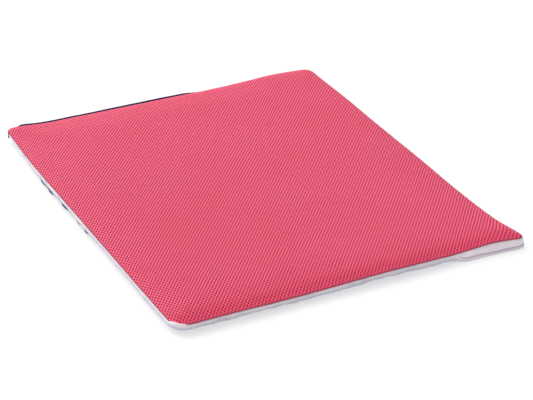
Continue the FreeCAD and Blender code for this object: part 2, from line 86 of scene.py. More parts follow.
def corner_layout():
    """Each side in turn: its straight run's start, heading and length, and the radius of the next corner."""
    after = CORNERS
    before = (CORNERS[3],) + CORNERS[:3]
    starts = (
        (-HALF_X + before[0], -HALF_Y),
        (HALF_X, -HALF_Y + before[1]),
        (HALF_X - before[2], HALF_Y),
        (-HALF_X, HALF_Y - before[3]),
    )
    spans = (2 * HALF_X, 2 * HALF_Y, 2 * HALF_X, 2 * HALF_Y)
    headings = ((1, 0), (0, 1), (-1, 0), (0, -1))
    runs = [span - a - b for span, a, b in zip(spans, after, before)]
    return list(zip(starts, headings, runs, after))


def perimeter():
    return side_start(4)


def side_start(side):
    """Distance along the outline at which a side's straight run starts: front, right, rear, left."""
    return sum(run + math.pi / 2 * radius for _, _, run, radius in corner_layout()[:side])


def along_rear(x):
    """Distance along the outline of a place on the rear edge's straight run."""
    return side_start(2) + HALF_X - CORNERS[1] - x


def outline(s):
    """Points on the outline and their outward normals, for an array of distances walked along it."""
    s = np.mod(np.asarray(s, float), perimeter())
    points = np.zeros(s.shape + (2,))
    normals = np.zeros(s.shape + (2,))
    at = 0.0
    for start, (hx, hy), run, radius in corner_layout():
        arc = math.pi / 2 * radius
        on_run = (s >= at) & (s <= at + run)
        points[on_run] = np.array(start) + (s[on_run] - at)[:, None] * np.array((hx, hy))
        normals[on_run] = (hy, -hx)
        on_arc = (s > at + run) & (s < at + run + arc)
        turn = (s[on_arc] - at - run) / radius
        centre = np.array(start) + run * np.array((hx, hy)) - radius * np.array((hy, -hx))
        facing = np.outer(np.cos(turn), (hy, -hx)) + np.outer(np.sin(turn), (hx, hy))
        points[on_arc] = centre + radius * facing
        normals[on_arc] = facing
        at += run + arc
    return points, normals


def outline_xy(s):
    points, _ = outline(s)
    return points[..., 0], points[..., 1]


def smooth(low, high, x):
    """0 below low, 1 above high, and a smooth rise between them."""
    t = np.clip((np.asarray(x, float) - low) / (high - low), 0, 1)
    return t * t * (3 - 2 * t)


def waves(x, y, scale, seed, octaves=3):
    """Smooth repeatable undulation, about -1 to 1, from sums of sines in fixed random directions."""
    rng = np.random.default_rng(seed)
    total = np.zeros(np.broadcast(x, y).shape)
    size = 1.0
    for _ in range(octaves):
        for _ in range(3):
            angle = rng.uniform(0, 2 * math.pi)
            phase = rng.uniform(0, 2 * math.pi)
            step = 2 * math.pi / (scale * rng.uniform(0.7, 1.4))
            total = total + size * np.sin(step * (x * math.cos(angle) + y * math.sin(angle)) + phase)
        size *= 0.55
        scale *= 0.5
    return total / 4.5


def waves_along(s, scale, seed, octaves=3):
    """Waves that vary with one distance only."""
    return waves(s, 0 * s, scale, seed, octaves)


def bump(x, middle, width):
    """A smooth hump, 1 at the middle."""
    return np.exp(-(((np.asarray(x, float) - middle) / width) ** 2))


# How the edge lies: 1 where the roll is pulled up (front and left), 0 where it lies on the ground.


def raised_share(s):
    x, y = outline_xy(s)
    front = (y < -HALF_Y + 30 * MM) * (1 - smooth(PLEAT_X - 4 * MM, PLEAT_X + 10 * MM, x))
    left = (x < 0) * (y > -HALF_Y + 30 * MM) * (1 - smooth(-HALF_X + 7 * MM, -HALF_X + 16 * MM, x))
    return np.maximum(front, left)


def near_front(y):
    """1 at the front edge and round its corners, fading out along the sides."""
    return 1 - smooth(-HALF_Y + 12 * MM, -HALF_Y + 75 * MM, y)


def settled_roll(x, y):
    """Top of the roll that lies on the ground: it is pressed lower near the front right corner."""
    return ROLL_LOW[1].z - 1.2 * MM * smooth(PLEAT_X + 20 * MM, PLEAT_X + 50 * MM, x) * near_front(y)


def corner_hump(x, y, corner_x, corner_y, width):
    """1 at one corner of the pad, fading over a width."""
    return bump(np.hypot(x - corner_x * HALF_X, y - corner_y * HALF_Y), 0, width)


EDGE_REACH = 40 * MM


def edge_push(x, y):
    """How far the edge's own bows carry a point sideways, fading inwards from the edge."""
    right = 7.6 * MM * bump(y, -HALF_Y, 26 * MM)
    right = right - 1.6 * MM * bump(y, -0.115, 0.07) + 1.2 * MM * bump(y, 0.13, 0.05)
    left = -2.6 * MM * bump(y, 0.92 * HALF_Y, 42 * MM)
    front = 2.0 * MM * bump(x, HALF_X, 26 * MM)
    wander = waves(x, y, 0.17, SEED + 1) * 0.30 * MM
    near_right = smooth(HALF_X - EDGE_REACH, HALF_X, x)
    near_left = smooth(HALF_X - EDGE_REACH, HALF_X, -x)
    near_rear = smooth(HALF_Y - EDGE_REACH, HALF_Y, y)
    near_front = smooth(HALF_Y - EDGE_REACH, HALF_Y, -y)
    dx = near_right * (right + wander) - near_left * (left + wander)
    dy = near_rear * wander - near_front * (front + wander)
    return np.stack([dx, dy], -1)


def edge_lift(x, y):
    """How far the edge is lifted above its CAD height."""
    on_front = bump(y, -HALF_Y, 50 * MM)
    on_rear = bump(y, HALF_Y, 50 * MM)
    lift = 2.0 * MM * bump(x, 0.168, 0.030) * on_front - 1.0 * MM * corner_hump(x, y, 1, -1, 16 * MM)
    lift = lift + 2.8 * MM * corner_hump(x, y, -0.93, 1, 26 * MM)
    lift = lift + 2.9 * MM * bump(x, 0.150, 0.045) * on_rear
    lift = lift + (0.7 * MM * bump(x, 0.045, 0.05) - 0.9 * MM * bump(x, -0.067, 0.05)) * on_front
    return lift + waves(x, y, 0.09, SEED + 2) * 0.2 * MM


# The upper surface.


def edge_distance(x, y):
    """How far inside the outline a point is, with the outline's rounded corners."""
    front_right, rear_right, rear_left, front_left = CORNERS
    at_front = np.where(x > 0, front_right, front_left)
    at_rear = np.where(x > 0, rear_right, rear_left)
    radius = np.where(y < 0, at_front, at_rear)
    qx = np.abs(x) - (HALF_X - radius)
    qy = np.abs(y) - (HALF_Y - radius)
    outside = np.hypot(np.maximum(qx, 0), np.maximum(qy, 0))
    inside = np.minimum(np.maximum(qx, qy), 0)
    return radius - outside - inside


# The crown, in millimetres: inset from the outline, and height there.
CROWN = (
    (0.0, 12.4), (0.5, 12.9), (1.1, 13.3), (2.5, 13.85), (5.0, 14.6), (9.0, 15.45),
    (14.0, 16.2), (20.0, 16.85), (28.0, 17.4), (38.0, 17.8), (52.0, 18.0), (300.0, 18.0),
)


# How far the blown-up core lifts the mesh, on a square grid over the pad. It is zero until the core is made.
SWELL_STEP = 5 * MM
SWELL = np.zeros((int(2 * HALF_X / SWELL_STEP) + 1, int(2 * HALF_Y / SWELL_STEP) + 1))


def swell(x, y):
    """The grid's value at points, blended between its corners."""
    columns, rows = SWELL.shape
    u = np.clip((x + HALF_X) / SWELL_STEP, 0, columns - 1.001)
    v = np.clip((y + HALF_Y) / SWELL_STEP, 0, rows - 1.001)
    i, j = u.astype(int), v.astype(int)
    fu, fv = u - i, v - j
    near = SWELL[i, j] * (1 - fv) + SWELL[i, j + 1] * fv
    far = SWELL[i + 1, j] * (1 - fv) + SWELL[i + 1, j + 1] * fv
    return near * (1 - fu) + far * fu


def top_height(x, y):
    """Height of the mesh's upper face."""
    inset = edge_distance(x, y)
    reach, levels = np.array(CROWN).T * MM
    height = np.interp(inset, reach, levels)
    lift = edge_lift(x, y) * (1 - smooth(0, 55 * MM, inset))
    soft = waves(x, y, 0.13, SEED + 3) * 0.22 * MM * smooth(4 * MM, 50 * MM, inset)
    soft = soft + 0.5 * MM * bump(y, -HALF_Y + 14 * MM, 9 * MM) * smooth(0, 10 * MM, inset)
    return np.minimum(height + lift + soft + swell(x, y), CROWN_Z + 0.6 * MM)


def bowed(spots):
    """Points on the plan, carried along with the edge's bows."""
    return spots + edge_push(spots[..., 0], spots[..., 1])


def moved_outline(s, inset):
    """Points at an inset from the outline, with the edge's bows."""
    points, normals = outline(s)
    return bowed(points - normals * inset)


# Mesh building.


def new_mesh(name, vertices, faces, material, flat=False):
    mesh = bpy.data.meshes.new(name)
    mesh.from_pydata([tuple(v) for v in vertices], [], [tuple(f) for f in faces])
    mesh.update()
    return new_object(name, mesh, material, flat)


def new_object(name, mesh, material, flat=False):
    mesh.validate()
    mesh.materials.append(material)
    if not flat:
        mesh.shade_smooth()
    obj = bpy.data.objects.new(name, mesh)
    bpy.context.scene.collection.objects.link(obj)
    return obj


def grid_faces(rows, columns, closed_rows=False, closed_columns=False, start=0):
    """Quads over a grid of vertices numbered row by row."""
    r = np.arange(rows if closed_rows else rows - 1)
    c = np.arange(columns if closed_columns else columns - 1)
    r0, c0 = np.meshgrid(r, c, indexing="ij")
    r1 = (r0 + 1) % rows
    c1 = (c0 + 1) % columns
    quads = np.stack([r0 * columns + c0, r0 * columns + c1, r1 * columns + c1, r1 * columns + c0], -1)
    return quads.reshape(-1, 4) + start


def capped_faces(rows, around):
    """Quads of a tube of rows, with a cap at each end."""
    faces = grid_faces(rows, around, closed_columns=True).tolist()
    faces.append(list(range(around))[::-1])
    faces.append([(rows - 1) * around + k for k in range(around)])
    return faces


def vertex_places(mesh):
    flat = np.zeros(len(mesh.vertices) * 3, np.float32)
    mesh.vertices.foreach_get("co", flat)
    return flat.reshape(-1, 3)


def give_values(obj, name, values):
    """Store one number per vertex, for a material to read."""
    layer = obj.data.attributes.new(name, "FLOAT", "POINT")
    layer.data.foreach_set("value", values.astype(np.float32).ravel())


def there_and_back(front, back):
    """A closed section: along the front, then back along the other side."""
    return np.concatenate([front, back[:, ::-1]], 1)


def planar_map(obj):
    """The UV map OFBake, laid out as seen from above."""
    mesh = obj.data
    layer = mesh.uv_layers.new(name="OFBake")
    co = vertex_places(mesh)
    loops = np.zeros(len(mesh.loops), np.int32)
    mesh.loops.foreach_get("vertex_index", loops)
    u = 0.5 + co[loops, 0] / (2.1 * HALF_Y)
    v = 0.5 + co[loops, 1] / (2.1 * HALF_Y)
    layer.data.foreach_set("uv", np.stack([u, v], -1).astype(np.float32).ravel())


# Materials.


class Nodes:
    """A short way to write a node material."""

    def __init__(self, name):
        self.material = bpy.data.materials.new(name)
        self.material.use_nodes = True
        self.tree = self.material.node_tree
        self.shader = self.tree.nodes["Principled BSDF"]
        self.place = self.add("ShaderNodeTexCoord").outputs["Object"]

    def add(self, kind, inputs=(), **settings):
        node = self.tree.nodes.new(kind)
        for key, value in settings.items():
            setattr(node, key, value)
        for key, value in dict(inputs).items():
            self.join(value, node.inputs[key])
        return node

    def join(self, value, socket):
        if isinstance(value, bpy.types.NodeSocket):
            self.tree.links.new(value, socket)
        else:
            socket.default_value = value

    def noise(self, scale, detail=3.0, roughness=0.55, stretch=(1, 1, 1)):
        mapped = self.add("ShaderNodeMapping", {"Vector": self.place, "Scale": stretch})
        node = self.add("ShaderNodeTexNoise", {"Vector": mapped.outputs[0], "Scale": scale, "Detail": detail,
                                               "Roughness": roughness})
        return node.outputs["Fac"]

    def wave(self, scale, direction="X", distortion=0.0, detail_scale=1.0):
        node = self.add("ShaderNodeTexWave", {"Vector": self.place, "Scale": scale, "Distortion": distortion,
                                              "Detail Scale": detail_scale}, bands_direction=direction)
        return node.outputs["Fac"]

    def math(self, operation, a, b=0.0):
        node = self.add("ShaderNodeMath", {0: a, 1: b}, operation=operation)
        return node.outputs[0]

    def spread(self, value, low, high, to_low=0.0, to_high=1.0):
        node = self.add("ShaderNodeMapRange", {"Value": value, "From Min": low, "From Max": high,
                                               "To Min": to_low, "To Max": to_high})
        return node.outputs["Result"]

    def even(self, noise, to_low=0.0, to_high=1.0):
        """A noise spread over a range. Most of its values lie between 0.3 and 0.7."""
        return self.spread(noise, 0.3, 0.7, to_low, to_high)

    def mix(self, share, a, b):
        node = self.add("ShaderNodeMix", data_type="RGBA")
        self.join(share, node.inputs[0])
        self.join(a, node.inputs[6])
        self.join(b, node.inputs[7])
        return node.outputs[2]

    def bump(self, height, distance, strength=1.0, normal=None):
        inputs = {"Height": height, "Distance": distance, "Strength": strength}
        if normal is not None:
            inputs["Normal"] = normal
        return self.add("ShaderNodeBump", inputs).outputs["Normal"]

    def finish(self, color, roughness, normal=None, **fixed):
        self.join(color, self.shader.inputs["Base Color"])
        self.join(roughness, self.shader.inputs["Roughness"])
        if normal is not None:
            self.join(normal, self.shader.inputs["Normal"])
        for key, value in fixed.items():
            self.shader.inputs[key.replace("_", " ")].default_value = value
        return self.material


def mesh_material(name):
    """Polyester spacer mesh: looped yarn, with painted shade that deepens the colour from its crests down
    into the holes.
    """
    n = Nodes(name)
    depth = n.add("ShaderNodeAttribute", attribute_name="depth").outputs["Fac"]
    yarn = n.noise(2600, 2.0, 0.6, (1.0, 1.6, 1.0))
    patch = n.noise(11, 3.0)
    shade = n.math("ADD", n.even(yarn, 0.0, 0.5), n.even(patch, 0.0, 0.5))
    strand = n.mix(shade, PINK, PINK_LIGHT)
    # painted shade: the depth value, with the painted shade near the front edge added in, darkens the
    # strands down into the holes
    strand = n.mix(n.spread(depth, 0.04, 0.22), strand, PINK_SHADE)
    color = n.mix(n.spread(depth, 0.16, 0.80), strand, PINK_DEEP)
    pressed = n.add("ShaderNodeAttribute", attribute_name="pressed").outputs["Fac"]
    # painted shadow: the mesh's rim is darkened along the seam
    color = n.mix(pressed, color, PINK_SEAM_SHADE)
    normal = n.bump(yarn, 0.00012, 0.8)
    rough = n.even(yarn, 0.55, 0.75)
    return n.finish(color, rough, normal, Sheen_Weight=0.22, Sheen_Roughness=0.35, Specular_IOR_Level=0.3)


def padding_material(name, deep, mid):
    """Knitted cloth seen through the holes, or pressed flat at the hem; the darker colours given to it are
    painted shade.
    """
    n = Nodes(name)
    yarn = n.noise(1900, 3.0, 0.6, (1.0, 1.8, 1.0))
    loop = n.math("MAXIMUM", n.wave(520, "X", 0.8), n.wave(520, "Y", 0.8))
    patch = n.noise(60, 3.0)
    shade = n.math("ADD", n.even(yarn, 0.0, 0.4), n.even(patch, 0.0, 0.35))
    shade = n.math("ADD", shade, n.spread(loop, 0.3, 1.0, 0.0, 0.25))
    color = n.mix(shade, deep, mid)
    normal = n.bump(loop, 0.0001, 0.5, n.bump(yarn, 0.0001, 0.7))
    return n.finish(color, n.even(yarn, 0.65, 0.85), normal, Sheen_Weight=0.2, Specular_IOR_Level=0.25)


def woven_material(name, dark, light, pitch, depth, rough=(0.6, 0.8), sheen=0.2):
    """Plain weave: two crossed sets of yarns."""
    n = Nodes(name)
    scale = 1 / (pitch * 3.2)
    warp = n.wave(scale, "X", 0.6)
    weft = n.wave(scale, "Y", 0.6)
    rise = n.wave(scale, "Z", 0.6)
    weave = n.math("MULTIPLY", n.math("MAXIMUM", warp, weft), n.spread(rise, 0, 1, 0.8, 1.0))
    slub = n.noise(420, 3.0, 0.6, (1, 0.35, 1))
    patch = n.noise(14, 2.0)
    shade = n.math("ADD", n.even(slub, 0.0, 0.45), n.even(patch, 0.0, 0.4))
    shade = n.math("ADD", shade, n.spread(weave, 0.2, 1.0, -0.1, 0.2))
    color = n.mix(shade, dark, light)
    normal = n.bump(weave, depth, 0.7)
    normal = n.bump(n.noise(70, 4.0), 0.0006, 0.35, normal)
    return n.finish(color, n.even(slub, *rough), normal, Sheen_Weight=sheen, Sheen_Roughness=0.5,
                    Specular_IOR_Level=0.3)


def coated_material(name, dark, light):
    """Soft white cloth with a faint sheen, creased where it is rolled, and darkened to a grey-blue by
    painted shade from a per-vertex value.
    """
    n = Nodes(name)
    crease = n.noise(120, 4.0, 0.6, (1, 1, 2.2))
    fold = n.noise(38, 3.0, 0.5)
    shade_and_patches = n.add("ShaderNodeAttribute", attribute_name="shade_and_patches").outputs["Fac"]
    weave = n.math("MAXIMUM", n.wave(900, "X", 0.4), n.wave(900, "Z", 0.4))
    shade = n.math("ADD", n.even(crease, 0.0, 0.5), n.even(fold, 0.0, 0.5))
    color = n.mix(shade, dark, light)
    # painted shade: the per-vertex value darkens the cloth towards a grey-blue where shade falls, with
    # random darker patches on the roll
    color = n.mix(n.math("MULTIPLY", shade_and_patches, n.even(crease, 0.75, 1.0)), color, WHITE_PAINTED_SHADE)
    normal = n.bump(crease, 0.0012, 0.35)
    normal = n.bump(fold, 0.003, 0.35, normal)
    normal = n.bump(weave, 0.00008, 0.3, normal)
    return n.finish(color, n.even(crease, 0.42, 0.62), normal, Sheen_Weight=0.3,
                    Sheen_Roughness=0.35, Specular_IOR_Level=0.4)


def nonwoven_material(name):
    n = Nodes(name)
    dots = n.add("ShaderNodeTexVoronoi", {"Vector": n.place, "Scale": 480, "Randomness": 0.15})
    pressed = n.spread(dots.outputs["Distance"], 0.15, 0.35)
    fibre = n.noise(1500, 4.0, 0.7, (1, 0.2, 1))
    color = n.mix(n.even(fibre), (0.72, 0.72, 0.73, 1), (0.92, 0.92, 0.92, 1))
    normal = n.bump(pressed, 0.0002, 0.7, n.bump(fibre, 0.0001, 0.5))
    return n.finish(color, n.spread(pressed, 0, 1, 0.45, 0.8), normal)


def thread_material(name, dark, light):
    """Twisted sewing thread."""
    n = Nodes(name)
    twist = n.add("ShaderNodeTexWave", {"Vector": n.place, "Scale": 900, "Distortion": 1.0},
                  bands_direction="DIAGONAL").outputs["Fac"]
    color = n.mix(n.spread(twist, 0.2, 0.9), dark, light)
    return n.finish(color, n.spread(twist, 0, 1, 0.7, 0.45), n.bump(twist, 0.00006, 0.8), Sheen_Weight=0.2)


def nylon_material(name):
    """Dyed nylon monofilament: smooth, with a soft highlight."""
    n = Nodes(name)
    streak = n.noise(900, 2.0, 0.5, (0.3, 1, 1))
    color = n.mix(n.even(streak), NAVY, NAVY_LIGHT)
    return n.finish(color, n.even(streak, 0.28, 0.42), n.bump(streak, 0.00004, 0.4))


def metal_material(name):
    """Pressed metal with fine scratches and a duller, darker skin in patches."""
    n = Nodes(name)
    scratch = n.noise(2400, 3.0, 0.6, (0.15, 1, 1))
    dull = n.noise(260, 3.0)
    color = n.mix(n.spread(dull, 0.35, 0.7), (0.66, 0.66, 0.68, 1), (0.44, 0.44, 0.46, 1))
    rough = n.math("ADD", n.even(scratch, 0.18, 0.34), n.even(dull, 0.0, 0.12))
    return n.finish(color, rough, n.bump(scratch, 0.00003, 0.5), Metallic=1.0)


def enamel_material(name):
    """Navy enamel over zinc, scuffed through in small spots."""
    n = Nodes(name)
    chip = n.noise(900, 4.0, 0.7)
    scuff = n.noise(160, 2.0)
    worn = n.math("MULTIPLY", n.spread(chip, 0.60, 0.68), n.spread(scuff, 0.50, 0.62))
    peel = n.noise(800, 2.0)
    color = n.mix(worn, n.mix(n.even(peel), NAVY, NAVY_LIGHT), (0.55, 0.55, 0.56, 1))
    return n.finish(color, n.even(peel, 0.25, 0.38), n.bump(peel, 0.00004, 0.4),
                    Coat_Weight=0.4, Coat_Roughness=0.15)


def satin_material(name):
    """Blank satin tape."""
    n = Nodes(name)
    float_yarn = n.wave(1100, "X", 0.8)
    grain = n.noise(300, 3.0, 0.6, (0.2, 1, 1))
    color = n.mix(n.even(grain), (0.78, 0.78, 0.80, 1), (0.90, 0.90, 0.91, 1))
    return n.finish(color, n.even(grain, 0.30, 0.45), n.bump(float_yarn, 0.00006, 0.6),
                    Sheen_Weight=0.3)


# The pink top.

HOLE_PITCH = 4.15 * MM
ROW_PITCH = 2.80 * MM
ROW_LEAN = 0.43 * MM
HOLE_LONG = 1.30 * MM
HOLE_SHORT = 0.80 * MM
RIM_GROWTH = 1.32
RIM_DROP = 0.16 * MM
NET_DEPTH = 0.90 * MM
NET_EDGE = 0.1 * MM
BACKING_DROP = 1.25 * MM
BACKING_THICKNESS = 1.0 * MM


def net_cells():
    """Middles of the holes, and the corners of a cell. The rows lean, as in cloth sewn in askew."""
    reach = HALF_X + HALF_Y * ROW_LEAN / ROW_PITCH
    columns = int(2 * reach / HOLE_PITCH) + 4
    rows = int(2 * HALF_Y / ROW_PITCH) + 4
    col, row = np.meshgrid(np.arange(columns) - columns // 2, np.arange(rows) - rows // 2)
    cx = ((col + 0.5 * (row % 2)) * HOLE_PITCH + row * ROW_LEAN).ravel()
    cy = (row * ROW_PITCH).ravel()
    corner_x = np.array((0, 1, 1, 0, -1, -1)) * HOLE_PITCH / 2
    corner_y = np.array((4, 2, -2, -4, -2, 2)) * ROW_PITCH / 6
    corner_x = corner_x + corner_y * ROW_LEAN / ROW_PITCH
    keep = edge_distance(cx, cy) > -1.3 * MM
    return cx[keep], cy[keep], corner_x, corner_y


def make_net(material):
    """The mesh's open upper face: staggered holes in a web of strands, steep inside the holes."""
    cx, cy, corner_x, corner_y = net_cells()
    outer = np.stack([cx[:, None] + corner_x, cy[:, None] + corner_y], -1)
    # each hole is longest towards the next row, which draws the rows of holes into slanting stripes
    lean = math.atan2(ROW_PITCH, HOLE_PITCH / 2 + ROW_LEAN)
    angle = np.arctan2(corner_y, corner_x) - lean
    long, short = HOLE_LONG * np.cos(angle), HOLE_SHORT * np.sin(angle)
    step_x = long * math.cos(lean) - short * math.sin(lean)
    step_y = long * math.sin(lean) + short * math.cos(lean)
    step = np.stack([step_x, step_y], -1)
    middles = np.stack([cx, cy], -1)[:, None, :]
    rim = middles + step * RIM_GROWTH
    hole = middles + step
    key = np.round(outer.reshape(-1, 2) / (0.02 * MM)).astype(np.int64)
    _, first, back = np.unique(key, axis=0, return_index=True, return_inverse=True)
    back = back.ravel().reshape(-1, 6)
    crests = pull_inside(outer.reshape(-1, 2)[first])
    rims = pull_inside(rim.reshape(-1, 2))
    holes = pull_inside(hole.reshape(-1, 2))
    spots = np.concatenate([crests, rims, holes])
    depth = np.repeat((0, RIM_DROP, NET_DEPTH), (len(crests), len(rims), len(holes)))
    rng = np.random.default_rng(SEED)
    depth[: len(crests)] -= rng.uniform(-0.06, 0.06, len(crests)) * MM
    depth *= smooth(0.5 * MM, 3.0 * MM, edge_distance(spots[:, 0], spots[:, 1]))
    z = top_height(spots[:, 0], spots[:, 1]) - depth
    turn = (np.arange(6) + 1) % 6
    rim_index = len(crests) + np.arange(len(rims)).reshape(-1, 6)
    hole_index = rim_index + len(rims)
    flats = np.stack([back, rim_index, rim_index[:, turn], back[:, turn]], -1)
    walls = np.stack([rim_index, hole_index, hole_index[:, turn], rim_index[:, turn]], -1)
    quads = np.concatenate([flats.reshape(-1, 4), walls.reshape(-1, 4)])
    vertices = np.column_stack([bowed(spots), z])
    net = new_mesh("top_mesh_net", vertices, quads, material)
    # painted shade near the front edge, where the crown turns away from the light, deepens the colour; in
    # the seam a painted shadow makes it dark
    front_shade = 0.16 * (1 - smooth(4 * MM, 34 * MM, spots[:, 1] + HALF_Y))
    pressed = 1 - smooth(0.4 * MM, 2.0 * MM, edge_distance(spots[:, 0], spots[:, 1]))
    for name, values in (("depth", depth / NET_DEPTH + front_shade), ("pressed", pressed)):
        give_values(net, name, values)
    planar_map(net)
    return net


def pull_inside(spots):
    """Bring points that fall outside the net's own edge back onto it."""
    x, y = spots[:, 0], spots[:, 1]
    for _ in range(4):
        inset = edge_distance(x, y)
        step = 0.05 * MM
        gx = (edge_distance(x + step, y) - edge_distance(x - step, y)) / (2 * step)
        gy = (edge_distance(x, y + step) - edge_distance(x, y - step)) / (2 * step)
        push = np.maximum(NET_EDGE - inset, 0)
        x = x + gx * push
        y = y + gy * push
    return np.stack([x, y], -1)


def ring_stations(step):
    total = perimeter()
    count = int(total / step)
    return np.arange(count) * total / count


def lid_rings(insets, step, inner=7 * MM, spokes=30):
    """Rings of points from the outline inwards: at insets first, then shrinking to the middle."""
    s = ring_stations(step)
    points, normals = outline(s)
    rings = [points - normals * d * MM for d in insets]
    base = points - normals * inner
    for k in range(1, spokes + 1):
        rings.append(base * (1 - k / (spokes + 0.5)))
    return s, rings


def closed_lid(name, upper, lower, material):
    """A closed form from rings of the upper face and of the lower face, both from the outside in."""
    stack = lower[::-1] + upper
    count = len(upper[0])
    return new_mesh(name, np.concatenate(stack), capped_faces(len(stack), count), material)


def make_backing(material):
    """The mesh's lower face and the padding under it, a thin closed lid over the core."""
    insets = (0.5, 1.0, 1.8, 3, 5, 7)
    _, rings = lid_rings(insets, 4 * MM)
    upper, lower = [], []
    for ring in rings:
        inset = edge_distance(ring[:, 0], ring[:, 1])
        drop = 0.35 * MM + (BACKING_DROP - 0.35 * MM) * smooth(0.5 * MM, 3.0 * MM, inset)
        depth = 0.25 * MM + (BACKING_THICKNESS - 0.25 * MM) * smooth(0.5 * MM, 4.0 * MM, inset)
        z = top_height(ring[:, 0], ring[:, 1]) - drop
        spots = bowed(ring)
        upper.append(np.column_stack([spots, z]))
        lower.append(np.column_stack([spots, z - depth]))
    return closed_lid("top_mesh_backing", upper, lower, material)


# Swept edges.


def sweep(name, sections, material, closed, shade_and_patches=None):
    """A skin through closed sections: an array of stations, section points and (x, y, z)."""
    stations, around = sections.shape[:2]
    if closed:
        faces = grid_faces(stations, around, closed_rows=True, closed_columns=True)
    else:
        faces = capped_faces(stations, around)
    skin = new_mesh(name, sections.reshape(-1, 3), faces, material)
    # the optional per-vertex values are painted shade, with random darker patches on the roll, for the cloth
    # material to read
    if shade_and_patches is not None:
        give_values(skin, "shade_and_patches", np.clip(shade_and_patches, 0, 1))
    return skin


def place_section(s, inset, height):
    """Turn (inset, height) sections at the stations into points. The edge's lift acts near the top."""
    points, normals = outline(s)
    spots = points[:, None, :] - normals[:, None, :] * inset[..., None]
    lift = edge_lift(points[:, 0], points[:, 1])[:, None]
    felt = smooth(4 * MM, SEAM_Z - 1 * MM, height)
    return np.concatenate([bowed(spots), (height + lift * felt)[..., None]], -1)


LEFT_BOTTOM = (
    (-208, 6.3), (-197, 5.8), (-183, 5.2), (-167, 4.3), (-140, 5.4), (-105, 6.6), (-70, 5.9), (-35, 6.2),
    (5, 5.4), (40, 5.9), (80, 5.0), (119, 5.2), (150, 6.4), (180, 8.3), (197, 8.9), (212, 7.6),
)
FRONT_BOTTOM = (
    (-186, 6.3), (-173, 5.6), (-155, 5.4), (-128, 4.6), (-98, 5.7), (-67, 4.4), (-38, 5.0),
    (-8, 4.5), (22, 5.6), (52, 5.9), (80, 5.0), (105, 4.6), (118, 4.3), (123, 3.6),
)


def raised_bottom(x, y):
    """Height of the raised roll's underside along the front and the left.

    The left rows at -167, -105, -35 and 119 were measured on the photograph, through the fitted camera.
    The other rows of both tables were given.
    """
    along_y, low_y = np.array(LEFT_BOTTOM).T * MM
    along_x, low_x = np.array(FRONT_BOTTOM).T * MM
    on_left = np.interp(y, along_y, low_y)
    on_front = np.interp(x, along_x, low_x)
    return np.where(y < -HALF_Y + 12 * MM, on_front, on_left)


def make_roll(material):
    """The soft roll: on the ground at the right and rear, pulled up at the front and left, with a pleat."""
    s = ring_stations(1.3 * MM)
    share = raised_share(s)
    x, y = outline_xy(s)
    low_edge = ROLL_LOW[0].z - 0.5 * MM + 0.25 * MM * waves(x, y, 0.06, SEED + 12)
    sag = 1.05 * MM * np.minimum(waves_along(s, 0.030, SEED + 18, 3), 0.35)
    bottom = low_edge + (raised_bottom(x, y) + sag - low_edge) * share
    settled = settled_roll(x, y)
    top = settled + (ROLL_RAISED[1].z + 0.25 * MM - settled) * share
    half = (top - bottom) / 2
    middle = (top + bottom) / 2
    # puckers along the seam, and soft folds that lean across the roll
    pucker = waves_along(s, 0.006, SEED + 8, 2)
    fold = waves_along(s, 0.020, SEED + 5, 2)
    lean = 2.2 * MM
    count = 22
    angles = np.arange(count) * 2 * math.pi / count
    c, n = np.cos(angles), np.sin(angles)
    power = 0.80
    across = np.sign(c) * np.abs(c) ** power
    up = np.sign(n) * np.abs(n) ** power
    leaned = s[:, None] + lean * up[None, :]
    crease = 0.38 * MM * waves_along(leaned, 0.013, SEED + 14, 2) * (0.35 + 0.65 * share[:, None])
    deep = np.minimum(waves_along(leaned, 0.045, SEED + 15, 1), 0) * 0.5 * MM * share[:, None]
    width = 2.1 * MM * (1 + 0.08 * fold + 0.04 * pucker)
    on_ground = (1 - share) * smooth(PLEAT_X, PLEAT_X + 20 * MM, x) * near_front(y)
    pinched = corner_hump(x, y, -1, 1, 16 * MM)
    puffed = corner_hump(x, y, -1, -1, 18 * MM)
    outward = (0.3 + 2.3 * on_ground - 1.3 * pinched + 0.7 * puffed) * MM
    inset = 2.1 * MM - outward[:, None] - width[:, None] * across[None, :] + crease - deep
    height = middle[:, None] + half[:, None] * up[None, :] + 0.5 * crease
    rise = (0.12 * MM * pucker * share)[:, None] * np.maximum(up, 0)[None, :]
    mitre = corner_hump(x, y, -1, -1, 15 * MM) * (1.7 + 0.7 * waves_along(s, 0.009, SEED + 16, 1)) * MM
    rise = rise + mitre[:, None] * np.maximum(up, 0)[None, :]
    # the roll folds over itself where it comes down at the pleat
    fold_over = bump(x, PLEAT_X + 1 * MM, 5 * MM) * (y < -0.15)
    inset = inset - (fold_over * 1.1 * MM)[:, None] * np.maximum(up + 0.2, 0)[None, :]
    # painted shade: darker on the roll's underside, and on its top where the roll lies on the ground under
    # the wall above it; the last term adds random darker patches leaning across the roll
    shade_and_patches = 0.85 * smooth(-0.75, 0.45, -up)[None, :] * (0.5 + 0.5 * share)[:, None]
    shade_and_patches = shade_and_patches + (0.55 * smooth(0.55, 1.0, up)[None, :]) * (1 - share)[:, None]
    shade_and_patches = shade_and_patches + 0.35 * np.clip(-waves_along(leaned, 0.03, SEED + 17, 2), 0, 1)
    return sweep("edge_roll", place_section(s, inset, height + rise), material, True, shade_and_patches)


